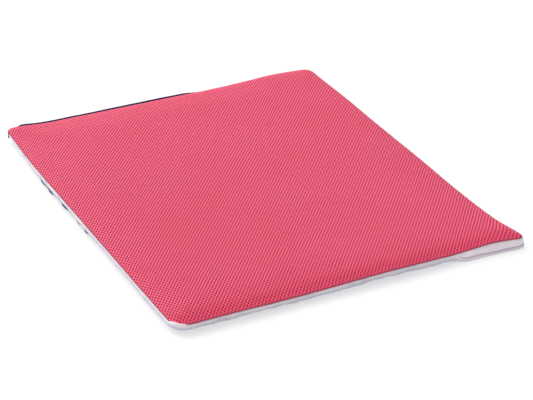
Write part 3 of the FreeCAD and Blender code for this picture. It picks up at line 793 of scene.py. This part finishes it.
def make_band(material):
    """The side band where it shows: from its point at the pleat, round the right side, to the zip."""
    start = PLEAT_X - 3 * MM + HALF_X - CORNERS[3]
    stop = along_rear(ZIP_RIGHT) - 0.3 * MM
    s = np.linspace(start, stop, int((stop - start) / (1.6 * MM)))
    share = raised_share(s)
    x, y = outline_xy(s)
    settled = settled_roll(x, y)
    low = settled + (SEAM_Z - settled - 0.8 * MM) * share
    steps = np.linspace(0, 1, 11)
    height = low[:, None] - 0.7 * MM + (SEAM_Z + 0.6 * MM - low[:, None]) * steps[None, :]
    belly = np.sin(math.pi * steps) * 0.75 * MM
    groove = 1.0 * MM * (1 - smooth(0, 0.22, steps)) + 0.3 * MM * smooth(0.85, 1, steps)
    slant = s[:, None] + 3 * MM * steps[None, :]
    pull = 0.22 * MM * waves_along(slant, 0.035, SEED + 9, 2) * np.sin(math.pi * steps)[None, :]
    front = near_front(y) * smooth(PLEAT_X, PLEAT_X + 16 * MM, x) * MM
    outer = 0.75 * MM - front[:, None] * (2.2 - 1.5 * steps)[None, :]
    outer = outer - belly[None, :] + groove[None, :] + pull
    inner = outer + 0.8 * MM
    inset = there_and_back(outer, inner)
    tall = there_and_back(height, height)
    # painted shade: darker at the band's foot, in the groove over the roll, and at its top under the seam
    shade_and_patches = 0.55 * (1 - smooth(0.0, 0.45, steps)) + 0.25 * smooth(0.8, 1, steps)
    shade_and_patches = np.broadcast_to(shade_and_patches, height.shape)
    shade_and_patches = there_and_back(shade_and_patches, shade_and_patches)
    return sweep("side_band_right_cloth", place_section(s, inset, tall), material, False, shade_and_patches)


def make_tucked_band(material):
    """The other band, folded flat behind the raised roll."""
    start = side_start(3) - perimeter()
    stop = PLEAT_X + HALF_X - CORNERS[3] + 12 * MM
    s = np.linspace(start, stop, int((stop - start) / (5 * MM)))
    steps = np.linspace(0, 1, 7)
    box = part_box("side_band_left")
    height = np.broadcast_to(box[0].z + (box[1].z - box[0].z) * steps, (len(s), 7))
    outer = 4.8 * MM - 0.25 * MM * np.sin(math.pi * steps)[None, :] + 0 * height
    inset = there_and_back(outer, outer + 0.7 * MM)
    tall = there_and_back(height, height)
    return sweep("side_band_left_cloth", place_section(s, inset, tall), material, False)


def make_mesh_hem(material):
    """Where the mesh's cut edge is turned under and sewn to the roll."""
    s = ring_stations(1.6 * MM)
    pinch = 0.10 * MM * waves_along(s, 0.008, SEED + 10, 2)
    # inset and height above the seam, going over the edge and back under it
    profile = ((3.2, 0.35), (1.9, 0.33), (0.7, 0.25), (0.10, 0.13), (0.15, 0.0), (0.8, -0.10), (2.0, -0.12),
               (3.2, -0.10))
    reach, rise = np.array(profile).T * MM
    inset = reach[None, :] + pinch[:, None]
    height = SEAM_Z + np.broadcast_to(rise, inset.shape) - 0.1 * MM
    return sweep("top_mesh_hem", place_section(s, inset, height), material, True)


# Sewing.


def capsule_parts(start, end, radius, sides=6):
    """Vertices and faces of one rounded stitch between two points."""
    start, end = Vector(start), Vector(end)
    heading = (end - start).normalized()
    side = heading.cross(Vector((0, 0, 1)))
    if side.length < 0.1:
        side = heading.cross(Vector((1, 0, 0)))
    side.normalize()
    lift = side.cross(heading)
    vertices = []
    for along, size in ((-1.0, 0.35), (-0.6, 0.85), (0.0, 1.0), (1.0, 1.0), (1.6, 0.85), (2.0, 0.35)):
        if along <= 0:
            middle = start + heading * along * radius
        else:
            middle = end + heading * (along - 1) * radius
        for k in range(sides):
            turn = 2 * math.pi * k / sides
            vertices.append(middle + (side * math.cos(turn) + lift * math.sin(turn)) * radius * size)
    return vertices, capped_faces(6, sides)


def make_stitches(name, pairs, radius, material):
    """A row of stitches, each between the two points of a pair."""
    vertices, faces = [], []
    for start, end in pairs:
        more, quads = capsule_parts(start, end, radius)
        faces += [[i + len(vertices) for i in face] for face in quads]
        vertices += more
    return new_mesh(name, vertices, faces, material)


STITCH_PITCH = 3.1 * MM
STITCH_SHARE = 0.62


def edge_stitches(name, inset, height, radius, material):
    """Stitches that follow the outline at one inset. height is a function of the stations there."""
    s = ring_stations(STITCH_PITCH)
    ends = []
    for shift in (0.0, STITCH_PITCH * STITCH_SHARE):
        at = s + shift
        points, normals = outline(at)
        lift = edge_lift(points[:, 0], points[:, 1]) * (inset < 4 * MM)
        spots = bowed(points - normals * inset)
        ends.append(np.column_stack([spots, height(at) + lift]))
    return make_stitches(name, list(zip(*ends)), radius, material)


def make_top_stitches(material):
    def height(at):
        return np.full(len(at), SEAM_Z - 0.30 * MM)

    return edge_stitches("top_seam_stitches", 0.9 * MM, height, 0.16 * MM, material)


def make_bottom_stitches(material):
    def height(at):
        return panel_height(at, BOTTOM_SEAM_INSET) - 0.05 * MM

    return edge_stitches("bottom_seam_stitches", BOTTOM_SEAM_INSET, height, 0.2 * MM, material)


# The underside.

BOTTOM_SEAM_INSET = 5.8 * MM
# Middle, half width and size of each, in millimetres. All middles but the last are dark spots on the
# photograph, carried into this frame through the fitted camera.
PEEPS = (
    (180, 8, 0.6), (109, 13, 2.5), (86, 10, 2.7), (50, 15, 2.4), (12, 9, 2.2), (-9, 8, 2.6), (-150, 9, 0.6),
)


def panel_height(s, inset):
    """Height of the bottom cloth's outer face at an inset. It curls up to the raised roll."""
    rise = (raised_bottom(*outline_xy(s)) + 0.3 * MM) * raised_share(s)
    curl = rise * np.clip((16 * MM - inset) / (13.5 * MM), 0, 1) ** 1.15
    seam = 0.30 * MM * bump(inset, BOTTOM_SEAM_INSET, 1.6 * MM)
    return curl + seam


def peeping(x, y):
    """Where the bottom cloth bags out below the roll along the left side."""
    total = np.zeros(np.shape(y))
    for middle, width, size in PEEPS:
        total = total + size * MM * bump(y, middle * MM, width * MM)
    return total * (x < -HALF_X + 20 * MM)


def make_bottom(material):
    """The navy cloth: flat on the ground, curling up to the raised roll."""
    s = ring_stations(2.5 * MM)
    thickness = 0.6 * MM
    lower = []
    for d in (2.4, 2.7, 3.0, 3.5, 4.5, 5.2, 5.8, 6.4, 7.0):
        spots = moved_outline(s, d * MM)
        points, normals = outline(s)
        peep = peeping(points[:, 0], points[:, 1]) * (1 - smooth(3 * MM, 6.5 * MM, d * MM))
        pucker = 0.18 * MM * waves_along(s, 0.009, SEED + 20, 2) * bump(d, 4.5, 2.0)
        z = panel_height(s, d * MM) - peep + np.maximum(pucker, 0)
        lower.append(np.column_stack([spots + normals * (0.75 * peep)[:, None], np.maximum(z, 0)]))
    base = moved_outline(s, 7 * MM)
    for k in (0.008, 0.016, 0.026, 0.038, 0.055, 0.08, 0.11, *np.linspace(0.15, 0.97, 18)):
        ring = base * (1 - k)
        inset = edge_distance(ring[:, 0], ring[:, 1])
        wrinkle = 0.22 * MM * np.maximum(waves(ring[:, 0], ring[:, 1], 0.07, SEED + 21), 0)
        lower.append(np.column_stack([ring, panel_height(s, inset) + wrinkle]))
    upper = [ring + np.array((0, 0, thickness)) for ring in lower]
    return closed_lid("bottom_cloth", upper, lower, material)


# The zip.

COIL_TEETH = 172
COIL_WIRE = 0.28 * MM


def tube(path, radius, sides):
    """Vertices and faces of a closed tube through points."""
    path = np.asarray(path, float)
    ahead = np.gradient(path, axis=0)
    ahead /= np.linalg.norm(ahead, axis=1)[:, None]
    guide = np.array((0.0, 0.0, 1.0)) + 0 * ahead
    guide[np.abs(ahead[:, 2]) > 0.9] = (1.0, 0.0, 0.0)
    side = np.cross(ahead, guide)
    side /= np.linalg.norm(side, axis=1)[:, None]
    lift = np.cross(side, ahead)
    turn = np.arange(sides) * 2 * math.pi / sides
    ring = side[:, None, :] * np.cos(turn)[None, :, None] + lift[:, None, :] * np.sin(turn)[None, :, None]
    vertices = (path[:, None, :] + ring * radius).reshape(-1, 3)
    return vertices, capped_faces(len(path), sides)


def make_coil(name, node, material):
    """The zip's coil on one side: one nylon wire wound in flattened loops."""
    lo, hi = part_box(node)
    pitch = (hi.x - lo.x) / COIL_TEETH
    stations = 12
    turn = np.arange(COIL_TEETH * stations + 1) * 2 * math.pi / stations
    half_y = (hi.y - lo.y) / 2 - COIL_WIRE
    half_z = (hi.z - lo.z) / 2 - COIL_WIRE
    x = lo.x + pitch * turn / (2 * math.pi)
    # loops lean so that the long legs lie across the tape
    x = x + 0.18 * pitch * np.sin(2 * turn)
    y = (lo.y + hi.y) / 2 + half_y * np.cos(turn)
    z = (lo.z + hi.z) / 2 + half_z * np.sin(turn)
    x = np.clip(x, lo.x + COIL_WIRE, hi.x - COIL_WIRE)
    vertices, faces = tube(np.column_stack([x, y, z]), COIL_WIRE, 6)
    return new_mesh(name, vertices, faces, material)


def make_tape(name, node, top_z, material):
    """A woven zip tape: flat, with a thicker cord edge next to the coil and slow waves along it."""
    lo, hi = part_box(node)
    x = np.arange(lo.x, hi.x + 0.1 * MM, 1.2 * MM)
    steps = np.linspace(0, 1, 13)
    z = lo.z + (top_z - lo.z) * steps
    near_coil = steps if node.endswith("lower") else 1 - steps
    rib = 0.12 * MM * np.maximum(np.sin(near_coil * 9 * math.pi), 0)
    rib = rib + 0.18 * MM * smooth(0.86, 1, near_coil)
    sway = 0.12 * MM * waves_along(x, 0.04, SEED + 30, 2)
    face = lo.y + 0.42 * MM + rib[None, :] + sway[:, None]
    back = np.full((len(x), len(z)), lo.y + 0.0) + sway[:, None]
    lift = edge_lift(x, np.full(len(x), HALF_Y))[:, None] * smooth(0.2, 1, steps)[None, :]
    lift = lift * (top_z > 9 * MM)
    across = there_and_back(face, back)
    tall = there_and_back(z[None, :] + lift, z[None, :] + lift)
    along = np.broadcast_to(x[:, None], across.shape)
    sections = np.stack([along, across, tall], -1)
    return sweep(name, sections, material, False)


def make_bead(material):
    """The tape's turned-up edge: a thin fin just above the mesh along the rear, tapered at both ends."""
    lo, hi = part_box("zip_tape_upper")
    x = np.arange(lo.x, hi.x, 1.5 * MM)
    y = np.full(len(x), HALF_Y + 0.55 * MM)
    taper = smooth(lo.x, lo.x + 8 * MM, x) * (1 - smooth(hi.x - 25 * MM, hi.x, x))
    foot = SEAM_Z + (0.45 * taper - 0.5) * MM
    top = SEAM_Z + (0.1 + 2.0 * taper + 0.3 * taper * bump(x, -0.02, 0.06)) * MM
    top = top + 0.2 * MM * waves_along(x, 0.05, SEED + 31, 2) * taper
    middle = (top + foot) / 2 + edge_lift(x, y)
    angle = np.arange(12) * 2 * math.pi / 12
    across = (0.30 + 0.32 * taper)[:, None] * MM * np.cos(angle)[None, :]
    tall = middle[:, None] + ((top - foot) / 2)[:, None] * np.sin(angle)[None, :]
    places = bowed(np.column_stack([x, y]))
    along = np.broadcast_to(places[:, :1], across.shape)
    return sweep("zip_tape_bead", np.stack([along, places[:, 1:] + across, tall], -1), material, False)


def make_tab(name, node, s_from, s_to, proud, material):
    """A cloth tab over an end of the zip, with its edges turned under, standing proud of the wall."""
    lo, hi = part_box(node)
    s = np.linspace(s_from, s_to, max(8, int(abs(s_to - s_from) / (0.8 * MM))))
    steps = np.linspace(0, 1, 11)
    end = np.minimum(np.arange(len(s)), np.arange(len(s))[::-1])
    roll_under = 1 - smooth(0, 2.0, end)
    swell = 0.28 * MM * np.sin(math.pi * steps) ** 0.5
    height = lo.z + (hi.z - lo.z) * (0.5 + (steps - 0.5)[None, :] * (1 - 0.06 * roll_under)[:, None])
    outer = 0.35 * MM - proud - swell[None, :] * (1 - 0.5 * roll_under)[:, None] + 0 * height
    inset = there_and_back(outer, outer + 0.5 * MM)
    tall = there_and_back(height, height)
    return sweep(name, place_section(s, inset, tall), material, False)


def make_zip_stitches(material):
    """Two rows of stitches that hold the tapes."""
    lo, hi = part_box("zip_stitching")
    count = 90
    pitch = (hi.x - lo.x) / count
    pairs = []
    for row in (hi.z - 0.15 * MM, lo.z + 0.15 * MM):
        for k in range(count):
            x = lo.x + (k + 0.15) * pitch
            y = (lo.y + hi.y) / 2
            pairs.append(((x, y, row), (x + 0.62 * pitch, y, row + 0.05 * MM)))
    return make_stitches("zip_tape_stitches", pairs, 0.14 * MM, material)


def make_label(material):
    """A blank satin label, folded once and sewn in by its top edge."""
    lo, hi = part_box("care_label")
    drop = hi.z - lo.z
    x = np.linspace(lo.x, hi.x, 23)
    half = 0.42 * MM
    steps = np.concatenate([np.linspace(0, 1, 12), np.linspace(1, 0, 12)])
    side = np.concatenate([np.full(12, 1.0), np.full(12, -1.0)])
    middle_y = (lo.y + hi.y) / 2
    curl = 0.25 * MM * np.sin(math.pi * (x - lo.x) / (hi.x - lo.x))
    open_fold = np.sin(math.pi * np.clip(steps, 0, 1) ** 1.5) * 0.5 + 0.35
    y_outer = middle_y + side[None, :] * half * open_fold[None, :] + curl[:, None] * steps[None, :]
    z_outer = hi.z - drop * (0.02 + 0.96 * steps[None, :]) + 0 * y_outer
    thin = 0.14 * MM
    y_inner = y_outer - side[None, :] * thin
    z_inner = z_outer + thin * bump(steps, 1, 0.06)[None, :]
    across = there_and_back(y_outer, y_inner)
    tall = there_and_back(z_outer, z_inner)
    along = np.broadcast_to(x[:, None], across.shape)
    return sweep("care_label_fold", np.stack([along, across, tall], -1), material, False)


def soften(node, width, segments):
    """Round the sharp edges of a CAD node with modifiers, leaving its mesh as it is."""
    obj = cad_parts[node]
    weld = obj.modifiers.new("weld", "WELD")
    weld.merge_threshold = 0.00001
    bevel = obj.modifiers.new("rounded_edges", "BEVEL")
    bevel.width = width
    bevel.segments = segments
    bevel.limit_method = "ANGLE"
    bevel.angle_limit = math.radians(35)
    bevel.harden_normals = False


# The core.


def make_core(material):
    """The foam core in its sewn liner, a crowned closed form."""
    s = ring_stations(6 * MM)
    count = len(s)
    share = raised_share(s)
    base = moved_outline(s, 7 * MM)
    upper, lower = [], []
    for k in (0.0, 0.006, 0.015, 0.03, 0.045, 0.06, 0.09, *np.linspace(0.13, 0.97, 16)):
        ring = base * (1 - k)
        inset = edge_distance(ring[:, 0], ring[:, 1])
        side = smooth(6.8 * MM, 11 * MM, inset)
        top = (8.6 + 2.4 * side + 2.0 * smooth(10 * MM, 50 * MM, inset)) * MM
        curl = 4.5 * MM * (1 - smooth(6.8 * MM, 18 * MM, inset)) * share
        upper.append((ring, top))
        lower.append((ring, 1.4 * MM + curl))
    upper = [np.column_stack([r, np.broadcast_to(z, count)]) for r, z in upper]
    lower = [np.column_stack([r, np.broadcast_to(z, count)]) for r, z in lower]
    return closed_lid("core_cushion", upper, lower, material)


def apply_modifier(obj, name):
    bpy.context.view_layer.objects.active = obj
    bpy.ops.object.modifier_apply(modifier=name)


SWELL_CAP = 1.2 * MM
SIM_FRAMES = 20


def blow_up(cushion):
    """Fill the core's liner with cloth pressure, so that its faces bow out and its edges pull in."""
    remesh = cushion.modifiers.new("remesh", "REMESH")
    remesh.mode = "VOXEL"
    remesh.voxel_size = 5 * MM
    apply_modifier(cushion, "remesh")
    before = vertex_places(cushion.data)
    cloth = cushion.modifiers.new("cloth", "CLOTH")
    cloth.settings.use_pressure = True
    cloth.settings.uniform_pressure_force = 4
    cloth.settings.effector_weights.gravity = 0
    cloth.point_cache.frame_start = 1
    cloth.point_cache.frame_end = SIM_FRAMES
    for step in range(1, SIM_FRAMES + 1):
        bpy.context.scene.frame_set(step)
    graph = bpy.context.evaluated_depsgraph_get()
    after = vertex_places(cushion.evaluated_get(graph).data)
    cushion.modifiers.remove(cloth)
    bpy.context.scene.frame_set(1)
    move = after - before
    size = np.linalg.norm(move, axis=1)
    move *= np.minimum(1, SWELL_CAP / np.maximum(size, 1e-9))[:, None]
    places = before + move
    places[:, 2] = np.maximum(places[:, 2], 1.0 * MM)
    cushion.data.vertices.foreach_set("co", places.ravel())
    cushion.modifiers.new("finer", "SUBSURF").levels = 1
    apply_modifier(cushion, "finer")
    cushion.data.shade_smooth()


def blurred(grid, times):
    for _ in range(times):
        padded = np.pad(grid, 1, mode="edge")
        grid = (padded[:-2, 1:-1] + padded[2:, 1:-1] + padded[1:-1, :-2] + padded[1:-1, 2:] + 2 * grid) / 6
    return grid


def read_swell(cushion):
    """Cast rays down on the blown-up core and keep how its top departs from its own even shape."""
    tree = BVHTree.FromObject(cushion, bpy.context.evaluated_depsgraph_get())
    heights = np.zeros(SWELL.shape)
    for i in range(SWELL.shape[0]):
        for j in range(SWELL.shape[1]):
            x = np.clip(-HALF_X + i * SWELL_STEP, -HALF_X + 16 * MM, HALF_X - 16 * MM)
            y = np.clip(-HALF_Y + j * SWELL_STEP, -HALF_Y + 16 * MM, HALF_Y - 16 * MM)
            hit = tree.ray_cast(Vector((x, y, 0.1)), Vector((0, 0, -1)))[0]
            heights[i, j] = hit.z if hit else 0.012
    departure = blurred(heights, 4) - blurred(heights, 60)
    x = -HALF_X + np.arange(SWELL.shape[0]) * SWELL_STEP
    y = -HALF_Y + np.arange(SWELL.shape[1]) * SWELL_STEP
    inset = edge_distance(*np.meshgrid(x, y, indexing="ij"))
    SWELL[:] = np.clip(departure, -0.4 * MM, 0.4 * MM) * smooth(6 * MM, 30 * MM, inset)


# Assembly.

pink = mesh_material("mesh_strands")
# the mesh's lower face is real, and its pinks are darker than the strands as painted shade seen through the
# holes
pink_deep = padding_material("mesh_lower_face", (0.58, 0.026, 0.070, 1), (0.80, 0.050, 0.12, 1))
# the hem's dark pinks are painted shadow along the seam
pink_hem = padding_material("mesh_hem_seam_shade", (0.26, 0.02, 0.045, 1), PINK_SEAM_SHADE)
white = coated_material("roll_cloth", WHITE_SHADE, WHITE_CLOTH)
# the band's lighter white is painted light
band_cloth = coated_material("band_cloth", WHITE_SHADE, WHITE_BAND_LIT)
navy_cloth = woven_material("navy_weave", NAVY, NAVY_LIGHT, 0.9 * MM, 0.15 * MM)
tape_cloth = woven_material("tape_weave", NAVY, NAVY_LIGHT, 0.5 * MM, 0.1 * MM, sheen=0.04)
nonwoven = nonwoven_material("liner_nonwoven")
white_thread = thread_material("white_thread", (0.60, 0.58, 0.60, 1), (0.90, 0.88, 0.90, 1))
navy_thread = thread_material("navy_thread", NAVY, (0.08, 0.11, 0.26, 1))
nylon = nylon_material("coil_nylon")
metal = metal_material("stop_metal")
enamel = enamel_material("slider_enamel")
satin = satin_material("label_satin")

core = make_core(nonwoven)
blow_up(core)
read_swell(core)
net = make_net(pink)
backing = make_backing(pink_deep)
hem = make_mesh_hem(pink_hem)
roll = make_roll(white)
band = make_band(band_cloth)
tucked = make_tucked_band(band_cloth)
bottom = make_bottom(navy_cloth)
top_stitches = make_top_stitches(white_thread)
bottom_stitches = make_bottom_stitches(white_thread)
coil_upper = make_coil("zip_coil_upper", "zip_teeth_upper", nylon)
coil_lower = make_coil("zip_coil_lower", "zip_teeth_lower", nylon)
tape_upper = make_tape("zip_tape_upper_cloth", "zip_tape_upper", SEAM_Z, tape_cloth)
tape_lower = make_tape("zip_tape_lower_cloth", "zip_tape_lower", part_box("zip_tape_lower")[1].z, tape_cloth)
bead = make_bead(tape_cloth)
right_from = along_rear(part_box("zip_end_tab_right")[1].x)
right_to = along_rear(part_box("zip_end_tab_right")[0].x)
left_from = along_rear(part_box("zip_end_tab_left")[1].x)
left_to = side_start(3) - 1.5 * MM
tab_right = make_tab("zip_tab_right_cloth", "zip_end_tab_right", right_from, right_to, 0.75 * MM, tape_cloth)
tab_left = make_tab("zip_tab_left_cloth", "zip_end_tab_left", left_from, left_to, 0, tape_cloth)
zip_stitches = make_zip_stitches(navy_thread)
label = make_label(satin)

for piece, slot, nodes in (
    (net, "mesh_pink", ()),
    (backing, "mesh_pink", ("top_panel",)),
    (hem, "mesh_pink", ()),
    (roll, "welt_white", ("edge_welt_low", "edge_welt_raised")),
    (band, "band_white", ("side_band_right",)),
    (tucked, "band_white", ("side_band_left",)),
    (bottom, "panel_navy", ("bottom_panel",)),
    (core, "core_foam", ("core_pad", "core_liner_upper", "core_liner_lower")),
    (top_stitches, "thread_white", ("top_seam_thread",)),
    (bottom_stitches, "thread_white", ("bottom_seam_thread",)),
    (coil_upper, "teeth_navy", ("zip_teeth_upper",)),
    (coil_lower, "teeth_navy", ("zip_teeth_lower",)),
    (tape_upper, "tape_navy", ("zip_tape_upper",)),
    (bead, "tape_navy", ()),
    (tape_lower, "tape_navy", ("zip_tape_lower",)),
    (tab_left, "tape_navy", ("zip_end_tab_left",)),
    (tab_right, "tape_navy", ("zip_end_tab_right",)),
    (zip_stitches, "thread_navy", ("zip_stitching",)),
    (label, "label_white", ("care_label",)),
):
    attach(piece, "cover")
    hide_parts(*nodes)

for node, material, width, segments in (
    ("zip_top_stops", metal, 0.30 * MM, 3),
    ("zip_bottom_stop", metal, 0.30 * MM, 3),
    ("zip_slider", enamel, 0.22 * MM, 3),
    ("zip_pull_tab", enamel, 0.20 * MM, 3),
):
    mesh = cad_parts[node].data
    mesh.materials.clear()
    mesh.materials.append(material)
    soften(node, width, segments)


# The stage, the light and the camera.


def make_floor():
    """A pale floor. Part of its brightness is its own, so that shadows on it stay faint."""
    n = Nodes("studio_floor")
    grain = n.noise(3, 2.0)
    color = n.mix(grain, (0.40, 0.40, 0.40, 1), (0.42, 0.42, 0.42, 1))
    glow = {"Emission_Color": (1, 1, 1, 1), "Emission_Strength": 0.62}
    material = n.finish(color, 0.9, Specular_IOR_Level=0.0, **glow)
    half = 6.0
    corners = [(-half, -half, 0), (half, -half, 0), (half, half, 0), (-half, half, 0)]
    floor = new_mesh("studio_floor", corners, [(0, 1, 2, 3)], material, flat=True)
    floor.location.z = -0.0002


def place_lamp(name, light, place, turn):
    lamp = bpy.data.objects.new(name, light)
    lamp.location = place
    lamp.rotation_euler = turn.to_euler()
    bpy.context.scene.collection.objects.link(lamp)


def soft_sun(name, towards, strength, spread):
    """A distant soft light that shines from a direction, alike all over the floor."""
    light = bpy.data.lights.new(name, "SUN")
    light.energy = strength
    light.angle = math.radians(spread)
    place_lamp(name, light, (0, 0, 0), Vector(towards).to_track_quat("Z", "Y"))


def near_light(name, place, target, size, power):
    light = bpy.data.lights.new(name, "AREA")
    light.shape = "DISK"
    light.size = size
    light.energy = power
    place_lamp(name, light, place, (Vector(target) - Vector(place)).to_track_quat("-Z", "Y"))


def make_light():
    world = bpy.data.worlds.new("studio")
    world.use_nodes = True
    background = world.node_tree.nodes["Background"]
    background.inputs["Color"].default_value = (1, 1, 1, 1)
    background.inputs["Strength"].default_value = 0.54
    bpy.context.scene.world = world
    soft_sun("key_from_rear_left", (-0.70, 0.85, 1.50), 1.96, 60)
    near_light("window_behind_left", (-0.15, 0.95, 0.45), (-0.1, 0.1, 0), 0.7, 3.0)
    bpy.context.scene.view_settings.view_transform = "Standard"
    bpy.context.scene.view_settings.look = "None"


# Fitted to the outline's four corners in the photograph.
CAMERA_AZIMUTH = -29.150
CAMERA_ELEVATION = 29.480
CAMERA_ROLL = 2.034
CAMERA_DISTANCE = 2.0139
CAMERA_TARGET = Vector((0.0017, -0.0349, 0.008))
CAMERA_LENS = 125.63


def make_camera():
    data = bpy.data.cameras.new("photo_view")
    data.sensor_width = 36
    data.lens = CAMERA_LENS
    camera = bpy.data.objects.new("photo_view", data)
    a, e, r = (math.radians(v) for v in (CAMERA_AZIMUTH, CAMERA_ELEVATION, CAMERA_ROLL))
    back = Vector((math.sin(a) * math.cos(e), -math.cos(a) * math.cos(e), math.sin(e)))
    right = (-back).cross(Vector((0, 0, 1))).normalized()
    up = right.cross(-back)
    right_rolled = right * math.cos(r) + up * math.sin(r)
    up_rolled = up * math.cos(r) - right * math.sin(r)
    turn = Matrix((right_rolled, up_rolled, back)).transposed()
    camera.matrix_world = Matrix.Translation(CAMERA_TARGET + back * CAMERA_DISTANCE) @ turn.to_4x4()
    bpy.context.scene.collection.objects.link(camera)
    bpy.context.scene.camera = camera


make_floor()
make_light()
make_camera()
